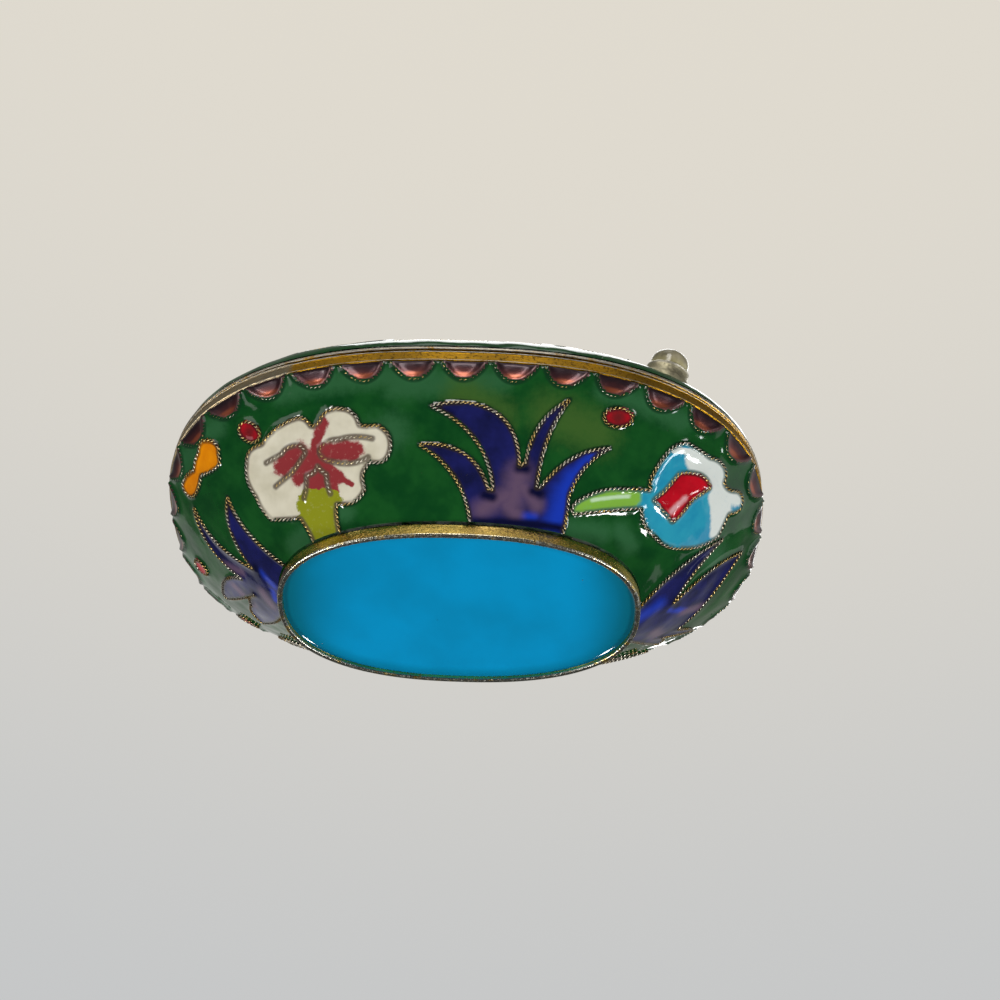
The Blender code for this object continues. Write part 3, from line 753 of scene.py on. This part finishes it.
class Finish:
    """A material under construction, with its Principled shader."""

    def __init__(self, name, **constants):
        self.material = bpy.data.materials.new(name)
        self.material.use_nodes = True
        self.tree = self.material.node_tree
        self.shader = self.tree.nodes["Principled BSDF"]
        for socket, value in constants.items():
            self.shader.inputs[socket.replace("_", " ").title().replace("Ior", "IOR")].default_value = value
        self.place = self.node("ShaderNodeTexCoord", {}, [], "Object")

    def node(self, kind, settings, sockets, output=0):
        made = self.tree.nodes.new(kind)
        for name, value in settings.items():
            setattr(made, name, value)
        pairs = sockets.items() if isinstance(sockets, dict) else enumerate(sockets)
        for socket, value in pairs:
            if isinstance(value, Value):
                self.tree.links.new(value.socket, made.inputs[socket])
            elif value is not None:
                made.inputs[socket].default_value = value
        return Value(self, made.outputs[output])

    def blend(self, factor, first, second):
        """A colour between two, each a triple or another colour."""
        first, second = ((*value, 1.0) if isinstance(value, tuple) else value for value in (first, second))
        return self.node("ShaderNodeMix", {"data_type": "RGBA"}, {0: factor, 6: first, 7: second}, 2)

    def noise(self, size, detail=2.0, roughness=0.5):
        sockets = {"Vector": self.place, "Scale": 1 / size, "Detail": detail, "Roughness": roughness}
        return self.node("ShaderNodeTexNoise", {}, sockets)

    def spots(self, size, radius, share):
        """Small round specks, one in every few cells of a size: share is how many cells have one."""
        cell = {"Vector": self.place, "Scale": 1 / size}
        distance = self.node("ShaderNodeTexVoronoi", {}, cell, "Distance")
        pick = self.node("ShaderNodeTexVoronoi", {}, cell, "Color")
        chosen = self.node("ShaderNodeSeparateColor", {}, [pick]).above(share, share - 0.02)
        return distance.above(radius / size, radius / size * 0.5) * chosen

    def attribute(self, name):
        return self.node("ShaderNodeAttribute", {"attribute_name": name}, [], "Fac")

    def height(self, axis):
        return self.node("ShaderNodeSeparateXYZ", {}, [self.place], axis)

    def bump(self, depth, value):
        made = self.node("ShaderNodeBump", {}, {"Strength": 1.0, "Distance": depth, "Height": value})
        self.tree.links.new(made.socket, self.shader.inputs["Normal"])

    def set(self, socket, value):
        self.tree.links.new(value.socket, self.shader.inputs[socket])


def enamel(name, deep, pale, edge, foil=0.0, painted=(), roughness=0.06, ragged=0.3, coat=1.0):
    """Fired enamel: mottled colour, brushed colours over it (painted glints, reflection and shade among
    them), dark at the wires, with pinholes and waves.
    """
    made = Finish(name, metallic=foil, coat_weight=coat if foil else 0.0, coat_roughness=0.04, ior=1.5)
    cloud = made.noise(3.6 * MM, 3.0, 0.6).above(0.32, 0.68)
    grain = made.noise(0.5 * MM, 3.0, 0.6)
    colour = made.blend(cloud, deep, pale)
    fringe = (made.noise(0.8 * MM, 4.0, 0.7) - 0.5) * ragged * 2
    for stroke, softness, tint in painted:
        amount = (made.attribute(stroke) + fringe).above(0.5 - softness, 0.5 + softness)
        colour = made.blend(amount, colour, tint)
    colour = made.blend(grain.above(0.56, 0.8) * 0.16, colour, pale)
    near = made.attribute("near").above(0.5, 0.2) * made.noise(1.6 * MM).above(0.15, 0.5)
    colour = made.blend(near * 0.85, colour, edge)
    pits = made.spots(2.4 * MM, 0.08 * MM, 0.5)
    colour = made.blend(pits * 0.75, colour, (0.02, 0.016, 0.012))
    made.set("Base Color", colour)
    made.set("Roughness", grain * 0.1 + (roughness - 0.03))
    wave = made.noise(1.4 * MM, 1.0) * 0.07
    made.bump(0.5 * MM, wave + grain * 0.012 - pits * 0.08)
    return made.material


def gilt_wire():
    """Twisted wire, gilt in places and silvery in others, black between its strands with tarnish and painted
    shade.
    """
    made = Finish("gilt_wire", metallic=1.0)
    worn = made.noise(3.0 * MM).above(0.42, 0.6)
    colour = made.blend(worn, (0.50, 0.35, 0.12), (0.52, 0.48, 0.39))
    rub = made.noise(0.45 * MM, 2.0) * 0.35
    # Dark where a face lies near the wire's middle: tarnish and painted shade in the grooves between the
    # strands
    outer = (made.attribute("outer") + rub).above(0.86, 1.16)
    made.set("Base Color", made.blend(outer, (0.022, 0.014, 0.009), colour))
    made.set("Roughness", made.noise(0.4 * MM) * 0.25 + 0.2)
    return made.material


def gilt(name, gold, silver, bright_from, bright_to, speckle=0.75, roughness=0.24):
    """Worn gilding, speckled dark in its hollow and rubbed silvery on its beads and edges."""
    made = Finish(name, metallic=1.0)
    patch = made.noise(5.0 * MM, 3.0).above(0.35, 0.65)
    colour = made.blend(patch, gold, tuple(value * 0.62 for value in gold))
    grime = made.noise(0.34 * MM, 4.0, 0.72).above(0.5, 0.64)
    colour = made.blend(grime * speckle, colour, (0.05, 0.032, 0.014))
    colour = made.blend(made.attribute("dull") * 0.6, colour, (0.36, 0.36, 0.30))
    bright = made.attribute("rubbed").above(bright_from, bright_to)
    scuff = made.noise(1.1 * MM, 4.0, 0.65).above(0.3, 0.5)
    colour = made.blend(bright * scuff, colour, silver)
    made.set("Base Color", colour)
    made.set("Roughness", grime * 0.25 + roughness)
    made.bump(0.05 * MM, made.noise(0.4 * MM, 3.0, 0.65))
    return made.material


def panel_enamel():
    made = Finish("sky_blue_enamel", ior=1.45)
    cloud = made.noise(9.0 * MM, 3.0).above(0.3, 0.7)
    colour = made.blend(cloud, (0.0, 0.22, 0.43), (0.0, 0.26, 0.52))
    edge = made.attribute("near").above(1.3, 0.1)
    colour = made.blend(edge * 0.6, colour, (0.0, 0.15, 0.27))
    ends = (made.height(0) / (foot_length / 2)) ** 2.0
    colour = made.blend(ends.above(0.3, 0.95) * 0.85, colour, (0.0, 0.10, 0.14))
    pits = made.spots(3.4 * MM, 0.11 * MM, 0.4)
    colour = made.blend(pits * 0.6, colour, (0.0, 0.06, 0.10))
    made.set("Base Color", colour)
    made.set("Roughness", made.noise(0.5 * MM, 3.0) * 0.08 + 0.03)
    made.bump(0.3 * MM, made.noise(2.5 * MM, 2.0) * 0.1 - pits * 0.2)
    return made.material


def stone_finish():
    """A cloudy olive stone, yellower low down."""
    made = Finish("amber_stone", ior=1.5)
    vein = made.noise(1.8 * MM, 4.0, 0.6).above(0.35, 0.7)
    colour = made.blend(vein, (0.20, 0.18, 0.11), (0.36, 0.32, 0.21))
    low = made.attribute("rubbed").above(2.1, 1.3)
    colour = made.blend(low * 0.7, colour, (0.46, 0.41, 0.20))
    made.set("Base Color", colour)
    made.set("Roughness", made.noise(0.6 * MM) * 0.1 + 0.16)
    return made.material


def enamel_set():
    """One material for each of ENAMELS, in the same order."""
    soot = (0.03, 0.022, 0.014)
    # The first of these two ground colours is partly clouded enamel, partly a painted reflection of pale
    # surroundings
    milky_sheen, olive = (0.022, 0.105, 0.036), (0.040, 0.105, 0.018)
    rose, chartreuse = (0.25, 0.030, 0.034), (0.24, 0.26, 0.012)
    # The last of these three colours is a pale painted highlight on the bud
    cream, lime, painted_glint = (0.66, 0.70, 0.66), (0.20, 0.42, 0.05), (0.48, 0.66, 0.42)
    cobalt, violet, navy = (0.010, 0.048, 0.56), (0.15, 0.09, 0.165), (0.001, 0.002, 0.035)
    # Scallop colours: a painted reddish glint, and a painted dark shade under the mouth strip
    painted_copper_glint, painted_prune_shade = (0.34, 0.085, 0.040), (0.030, 0.014, 0.020)
    return [
        enamel("green_enamel", (0.001, 0.046, 0.008), (0.006, 0.074, 0.012), (0.004, 0.03, 0.01), painted=(
            ("first", 0.42, milky_sheen), ("second", 0.45, olive))),
        enamel("white_enamel", (0.56, 0.52, 0.39), (0.67, 0.63, 0.50), (0.09, 0.065, 0.045), painted=(
            ("first", 0.22, (0.36, 0.14, 0.15)), ("first", 0.12, rose),
            ("second", 0.05, chartreuse)), ragged=0.4),
        enamel("sky_and_white_enamel", (0.012, 0.24, 0.40), (0.022, 0.31, 0.44), (0.05, 0.10, 0.08), painted=(
            ("first", 0.12, cream), ("second", 0.12, lime), ("third", 0.35, painted_glint)), ragged=0.15),
        # Crimson's first colour, a pale pink, is a painted highlight on the lozenge
        enamel("crimson_enamel", (0.36, 0.001, 0.008), (0.52, 0.003, 0.014), (0.05, 0.01, 0.012), painted=(
            ("first", 0.45, (0.66, 0.34, 0.36)), ("second", 0.5, (0.13, 0.010, 0.012)))),
        enamel("cobalt_enamel", (0.006, 0.008, 0.058), (0.013, 0.016, 0.14), soot, foil=0.3, painted=(
            ("first", 0.5, cobalt), ("second", 0.5, violet), ("third", 0.45, navy)), ragged=0.12, coat=0.4),
        enamel("orange_enamel", (0.70, 0.20, 0.0), (0.80, 0.28, 0.001), (0.12, 0.05, 0.01)),
        enamel("plum_enamel", (0.060, 0.018, 0.024), (0.15, 0.040, 0.035), (0.10, 0.05, 0.05), painted=(
            ("first", 0.4, painted_copper_glint), ("second", 0.4, painted_prune_shade)), foil=0.6, roughness=0.28, coat=0.12),
        enamel("inner_enamel", (0.0, 0.17, 0.33), (0.01, 0.21, 0.40), (0.0, 0.1, 0.2)),
    ]


# The box

def make_bowl(materials):
    inner_rows, floor_rows = 10, 3
    outer_rises = np.linspace(0, 1, wall_rows + 1)
    floor_share = bowl_floor / bowl_height
    levels = np.linspace(1, floor_share, inner_rows)
    first_outer = 2
    last_outer = first_outer + wall_rows
    rows = last_outer + 1 + 2 + inner_rows + floor_rows

    def wrap(column, row):
        share = SEAM + column
        angle = round_angle(share)
        places = np.empty((len(row), 3))
        outer = (row >= first_outer) & (row <= last_outer)
        places[outer] = bowl_point(share[outer], outer_rises[row[outer] - first_outer])
        ring = {0: (bowl_oval(0, 0), bowl_base, 0.0), 1: (bowl_oval(0, 0), bowl_base, 1.0)}
        after = last_outer + 1
        ring[after] = (bowl_oval(1, 0), mouth_base, 1.0)
        ring[after + 1] = (bowl_oval(1, -bowl_wall), mouth_base, 1.0)
        for index, level in enumerate(levels):
            ring[after + 2 + index] = (bowl_oval(level, -bowl_wall), bowl_base + level * bowl_height, 1.0)
        for index in range(floor_rows):
            scale = 1 - (index + 1) / floor_rows
            ring[after + 2 + inner_rows + index] = (
                bowl_oval(floor_share, -bowl_wall), bowl_base + bowl_floor, scale)
        for number, (oval, z, scale) in ring.items():
            here = row == number
            reach = oval_reach(*oval, angle[here]) * scale
            places[here] = around(angle[here], reach, np.full(here.sum(), z))
        return places

    obj, column, row = wrapped_grid("enamel_bowl", skin_sides, rows, wrap)
    outer = (row >= first_outer) & (row <= last_outer)
    share = SEAM + np.rint(column * skin_sides) / skin_sides
    places = np.stack([share[outer], outer_rises[row[outer] - first_outer]], -1)
    drawing = bowl_drawing()
    enamelled(obj, places, drawing, outer, row > last_outer + 1, bowl_point, bowl_normal, bowl_paint)
    close_mesh(obj, 60)
    finish_piece(obj, "green_enamel", "bowl", *materials)
    wires = twisted_wires("bowl_wires", drawing[1], bowl_point, bowl_normal)
    finish_piece(wires, "gilt_brass", None, WIRE)


def make_lid(materials):
    under_rows = 10
    rows = lid_rows + 1 + 1 + under_rows

    def plan(column, row):
        ring = np.clip(1 - (row / lid_rows), 0, 1)
        angle = round_angle(SEAM + column)
        return around(angle, rim_reach(angle) * ring)

    def wrap(column, row):
        angle = round_angle(SEAM + column)
        places = np.empty((len(row), 3))
        top = row <= lid_rows
        flat = plan(column[top], row[top])
        places[top] = lid_point(flat[:, 0], flat[:, 1])
        length, width = rim_length - 2 * lid_wall, rim_width - 2 * lid_wall
        ring = (row[~top] - lid_rows - 1) / under_rows
        reach = oval_reach(length, width, rim_squareness, angle[~top]) * ring
        places[~top] = dome_point(reach * np.cos(angle[~top]), reach * np.sin(angle[~top]), length, width,
                                  lid_rise - lid_wall, UNDER_LID_TABLE)
        return places

    obj, column, row = wrapped_grid("enamel_lid", skin_sides, rows, wrap)
    column = np.rint(column * skin_sides) / skin_sides
    outer = row <= lid_rows
    drawing = lid_drawing()
    places = plan(column[outer], row[outer])
    enamelled(obj, places, drawing, outer, ~outer, lid_point, lid_normal, lid_paint)
    close_mesh(obj, 60)
    finish_piece(obj, "green_enamel", "lid", *materials)
    wires = twisted_wires("lid_wires", drawing[1], lid_point, lid_normal)
    finish_piece(wires, "gilt_brass", None, WIRE)


def rounded(profile, steps=4, share=0.42):
    """The closed profile with its corners cut round, by a share of the stretches beside them."""
    points = []
    count = len(profile)
    for index in range(count):
        before, here, after = (np.array(profile[(index + step) % count]) for step in (-1, 0, 1))
        start, end = here + (before - here) * share, here + (after - here) * share
        for step in range(steps + 1):
            at = step / steps
            points.append(start * (1 - at) ** 2 + here * 2 * at * (1 - at) + end * at ** 2)
    return np.array(points)


def swept(name, length, width, squareness, profile, slot, replaced, material, rub, seam=None):
    """A strip round an oval, from a closed profile of distances outside the oval and heights."""
    profile = np.vstack([profile, profile[:1]])

    def wrap(column, row):
        angle = round_angle(column - 0.5)
        outside = profile[row, 0]
        if seam is not None:
            outside = outside + seam_step * (column - 0.5 < seam)
        reach = oval_reach(length + 2 * outside, width + 2 * outside, squareness, angle)
        return around(angle, reach, profile[row, 1])

    obj, column, row = wrapped_grid(name, band_sides, len(profile), wrap)
    store(obj, "rubbed", rub(profile[row]))
    if seam is not None:
        store(obj, "dull", column - 0.5 < seam)
    close_mesh(obj, 50)
    return finish_piece(obj, slot, replaced, material)


def make_bands():
    lip_face = -lid_wall - lip_play
    lip_back = lip_face - lip_wall
    mouth = rounded((
        (0.05 * MM, mouth_top), (0.22 * MM, mouth_top - 0.04 * MM), (0.22 * MM, mouth_top - 0.15 * MM),
        (0.08 * MM, mouth_top - 0.22 * MM), (0.1 * MM, mouth_top - 0.8 * MM),
        (0.08 * MM, mouth_base + 0.12 * MM), (0.18 * MM, mouth_base + 0.06 * MM),
        (0.18 * MM, mouth_base - 0.06 * MM), (0, mouth_base - 0.12 * MM), (lip_back, mouth_base),
        (lip_back, lip_top), (lip_face, lip_top), (lip_face, mouth_top),
    ))
    gold, silver = (0.50, 0.265, 0.012), (0.46, 0.42, 0.34)
    strip = gilt("mouth_gilt", gold, silver, 0.5, 0.62, roughness=0.42)
    swept("gilt_mouth_band", rim_length, rim_width, rim_squareness, mouth, "gilt_brass", "mouth_band", strip,
          lambda point: point[:, 0] / bead, seam=band_seam)
    lid_strip = rounded((
        (0, lid_band_top), (0.08 * MM, lid_band_top), (0.14 * MM, lid_band_top - 0.14 * MM),
        (0.27 * MM, lid_band_top - 0.2 * MM), (0.27 * MM, lid_band_base + 0.12 * MM),
        (0.05 * MM, lid_band_base), (-lid_wall, lid_band_base), (-lid_wall, lid_band_top),
    ))
    swept("gilt_lid_band", rim_length, rim_width, rim_squareness, lid_strip, "gilt_brass", "lid_band", strip,
          lambda point: point[:, 0] / bead)
    foot = rounded((
        (0, foot_height), (0, 0.3 * MM), (0, 0.15 * MM), (-0.12 * MM, 0), (0.12 * MM - foot_wall, 0),
        (-foot_wall, 0.15 * MM), (-foot_wall, foot_height),
    ), steps=3)
    worn = gilt("foot_gilt", (0.98, 0.68, 0.17), (0.36, 0.36, 0.31), 0.35, 0.8, speckle=0.4)
    swept("gilt_foot_ring", foot_length, foot_width, foot_squareness, foot, "gilt_brass", "foot_ring", worn,
          lambda point: 1 - point[:, 1] / (0.5 * MM))


def make_panel():
    rows = 26
    recess, crown = 1.0 * MM, 0.2 * MM
    drawn_up, drawn_reach = 0.45 * MM, 0.45 * MM

    def closer_at_edge(row):
        return np.sin(np.clip(row / (rows - 2), 0, 1) * math.pi / 2)

    def wrap(column, row):
        share = closer_at_edge(row)
        angle = round_angle(column - 0.5)
        reach = oval_reach(foot_length - 2 * foot_wall, foot_width - 2 * foot_wall, foot_squareness, angle)
        gap = (1 - share) * reach
        z = recess - crown * (1 - share ** 2) - drawn_up * np.exp(-gap / drawn_reach)
        z = np.where(row < rows - 1, z, foot_height)
        return around(angle, reach * share, z)

    obj, column, row = wrapped_grid("enamel_base_panel", panel_sides, rows, wrap)
    store(obj, "near", (1 - closer_at_edge(row)) * foot_width / 2 / MM)
    close_mesh(obj, 40, cap=True)
    finish_piece(obj, "sky_blue_enamel", "base_panel", panel_enamel())


def turned_on_lid(name, profile, slot, replaced, material, sides=64):
    """A round piece standing square on the lid: profile points are a radius and a height over it."""
    foot = lid_point(*stone_plan())
    turn = Vector(lid_normal(*stone_plan())).to_track_quat("Z", "Y")
    across, along, up = (np.array(turn @ Vector(axis)) for axis in ((1, 0, 0), (0, 1, 0), (0, 0, 1)))
    profile = np.array(profile)

    def wrap(column, row):
        angle = column * 2 * math.pi
        radius, height = profile[row].T
        return (foot + across * (radius * np.cos(angle))[:, None]
                + along * (radius * np.sin(angle))[:, None] + up * height[:, None])

    obj, _, row = wrapped_grid(name, sides, len(profile), wrap)
    store(obj, "rubbed", profile[row, 1] / setting_height)
    close_mesh(obj, 50)
    return finish_piece(obj, slot, replaced, material)


def make_stone_and_setting():
    radius = stone_width / 2 + 0.06 * MM
    outside = SETTING_RADIUS
    waist = outside - 0.36 * MM
    top = joint_gap + setting_height
    sunk = -0.6 * MM
    floor = joint_gap + setting_floor
    cup = [(0, sunk), (outside, sunk), (outside, 0.05 * MM), (outside - 0.12 * MM, 0.3 * MM),
           (outside - 0.32 * MM, 0.6 * MM), (waist, top - 0.2 * MM), (outside - 0.3 * MM, top - 0.1 * MM),
           (waist, top), (radius, top - 0.08 * MM), (radius, floor), (0, floor)]
    gold, silver = (0.56, 0.51, 0.34), (0.66, 0.62, 0.50)
    worn = gilt("setting_gilt", gold, silver, 0.95, 1.1, speckle=0.12, roughness=0.45)
    turned_on_lid("gilt_stone_setting", cup, "gilt_brass", "stone_setting", worn)
    base = floor + 0.02 * MM
    girdle = 2 * joint_gap + setting_floor + stone_girdle
    dome = [(0, base), (stone_width / 2, base)]
    for degrees in range(0, 91, 6):
        turn = math.radians(degrees)
        across = max(math.cos(turn), 0) ** (2 / stone_squareness)
        above = math.sin(turn) ** (2 / stone_squareness)
        dome.append((stone_width / 2 * across, girdle + stone_rise * above))
    turned_on_lid("cabochon", dome, "amber_stone", "stone", stone_finish())


# Camera, light and stage

camera_turn, camera_rise, camera_roll = math.radians(1.789), math.radians(-49.915), math.radians(3.09)
camera_distance, camera_right, camera_up = 167.71 * MM, 4.651 * MM, 12.534 * MM
camera_lens = 54.0


def make_camera():
    flat = math.cos(camera_rise)
    back = Vector((math.sin(camera_turn) * flat, -math.cos(camera_turn) * flat, math.sin(camera_rise)))
    level = (-back).cross(Vector((0, 0, 1))).normalized()
    upright = level.cross(-back)
    right = level * math.cos(camera_roll) + upright * math.sin(camera_roll)
    up = upright * math.cos(camera_roll) - level * math.sin(camera_roll)
    place = back * camera_distance + right * camera_right + up * camera_up
    data = bpy.data.cameras.new("camera")
    data.lens = camera_lens
    data.clip_start, data.clip_end = 0.005, 20
    camera = bpy.data.objects.new("camera", data)
    camera.matrix_world = Matrix.Translation(place) @ Matrix((right, up, back)).transposed().to_4x4()
    bpy.context.scene.collection.objects.link(camera)
    bpy.context.scene.camera = camera
    return right, up, back


def make_light(name, toward, distance, size, power, colour):
    """A soft square light in a direction from the box, facing it."""
    data = bpy.data.lights.new(name, "AREA")
    data.size = size
    data.energy = power
    data.color = colour
    light = bpy.data.objects.new(name, data)
    light.location = Vector(toward).normalized() * distance
    light.rotation_mode = "QUATERNION"
    light.rotation_quaternion = Vector(toward).to_track_quat("Z", "Y")
    bpy.context.scene.collection.objects.link(light)


def make_world(back):
    """A pale backdrop for the camera; for the light, a pale table behind the box and a dim room before it."""
    world = bpy.data.worlds.new("room")
    world.use_nodes = True
    bpy.context.scene.world = world
    tree = world.node_tree

    def blend(factor, first, second):
        mix = tree.nodes.new("ShaderNodeMix")
        mix.data_type = "RGBA"
        tree.links.new(factor, mix.inputs[0])
        for socket, colour in ((6, first), (7, second)):
            if isinstance(colour, tuple):
                mix.inputs[socket].default_value = (*colour, 1)
            else:
                tree.links.new(colour, mix.inputs[socket])
        return mix.outputs[2]

    def ramp(value, low, high):
        shade = tree.nodes.new("ShaderNodeMapRange")
        shade.interpolation_type = "SMOOTHSTEP"
        shade.inputs["From Min"].default_value = low
        shade.inputs["From Max"].default_value = high
        tree.links.new(value, shade.inputs["Value"])
        return shade.outputs[0]

    place = tree.nodes.new("ShaderNodeTexCoord").outputs["Generated"]
    facing = tree.nodes.new("ShaderNodeVectorMath")
    facing.operation = "DOT_PRODUCT"
    facing.inputs[1].default_value = back
    tree.links.new(place, facing.inputs[0])
    height = tree.nodes.new("ShaderNodeSeparateXYZ")
    tree.links.new(place, height.inputs[0])
    beyond = blend(ramp(facing.outputs["Value"], -1.0, -0.88), (0.20, 0.20, 0.18), (0.25, 0.25, 0.23))
    lit = blend(ramp(facing.outputs["Value"], -0.70, -0.30), beyond, (0.07, 0.07, 0.07))
    seen = blend(ramp(height.outputs["Z"], 0.45, 0.95), (0.56, 0.57, 0.575), (0.745, 0.705, 0.625))
    ray = tree.nodes.new("ShaderNodeLightPath").outputs["Is Camera Ray"]
    tree.links.new(blend(ray, lit, seen), tree.nodes["Background"].inputs["Color"])


def make_floor():
    """A pale floor under the box, seen from above only, so that the view from below is clear."""
    deselect_all()
    bpy.ops.mesh.primitive_plane_add(size=12, location=(0, 0, -0.02 * MM))
    floor = bpy.context.object
    floor.name = "floor"
    material = bpy.data.materials.new("floor")
    material.use_nodes = True
    tree = material.node_tree
    shader = tree.nodes["Principled BSDF"]
    shader.inputs["Base Color"].default_value = (0.72, 0.70, 0.66, 1)
    shader.inputs["Roughness"].default_value = 0.7
    clear = tree.nodes.new("ShaderNodeBsdfTransparent")
    mix = tree.nodes.new("ShaderNodeMixShader")
    side = tree.nodes.new("ShaderNodeNewGeometry")
    tree.links.new(side.outputs["Backfacing"], mix.inputs[0])
    tree.links.new(shader.outputs[0], mix.inputs[1])
    tree.links.new(clear.outputs[0], mix.inputs[2])
    tree.links.new(mix.outputs[0], tree.nodes["Material Output"].inputs["Surface"])
    floor.data.materials.append(material)
    floor.visible_shadow = False
    floor.visible_diffuse = False
    floor.visible_glossy = False


bpy.context.scene.view_settings.view_transform = "Standard"
right, up, back = make_camera()
make_world(back)
near, far = 0.45, 0.6
white, warm, warmer, cool = (1, 1, 1), (1.0, 0.98, 0.95), (1.0, 0.97, 0.92), (0.93, 0.98, 1.0)
make_light("low right", (0.6, 0.0, -0.8), near, 0.09, 1.15, white)
make_light("low left", (-0.6, 0.0, -0.8), near, 0.09, 1.15, white)
make_light("ceiling", up * 0.9 + back * 0.45, near, 0.14, 0.6, warm)
make_light("right lamp", right * 0.8 - up * 0.1 + back * 0.5, near, 0.05, 0.13, cool)
make_light("left lamp", -right * 0.6 + up * 0.7 + back * 0.45, near, 0.05, 0.2, warmer)
make_light("right window", right * 0.74 + up * 0.43 + back * 0.48, near, 0.08, 0.16, white)
make_light("left window", -right * 0.7 + up * 0.5 + back * 0.5, near, 0.18, 0.16, white)
make_light("overhead", (0.25, 0.55, 0.8), near, 0.28, 1.0, white)
make_light("straight above", (0.0, 0.05, 1.0), near, 0.2, 0.4, white)
make_light("before and above", (0.0, -0.64, 0.77), near, 0.22, 0.17, white)
make_light("behind", (-0.4, 1.0, 0.35), far, 0.7, 0.45, white)
make_light("beside", (0.98, 0.2, 0.1), far, 0.5, 0.5, white)
make_floor()
WIRE = gilt_wire()
enamels = enamel_set()
make_bowl(enamels)
make_lid(enamels)
make_bands()
make_panel()
make_stone_and_setting()
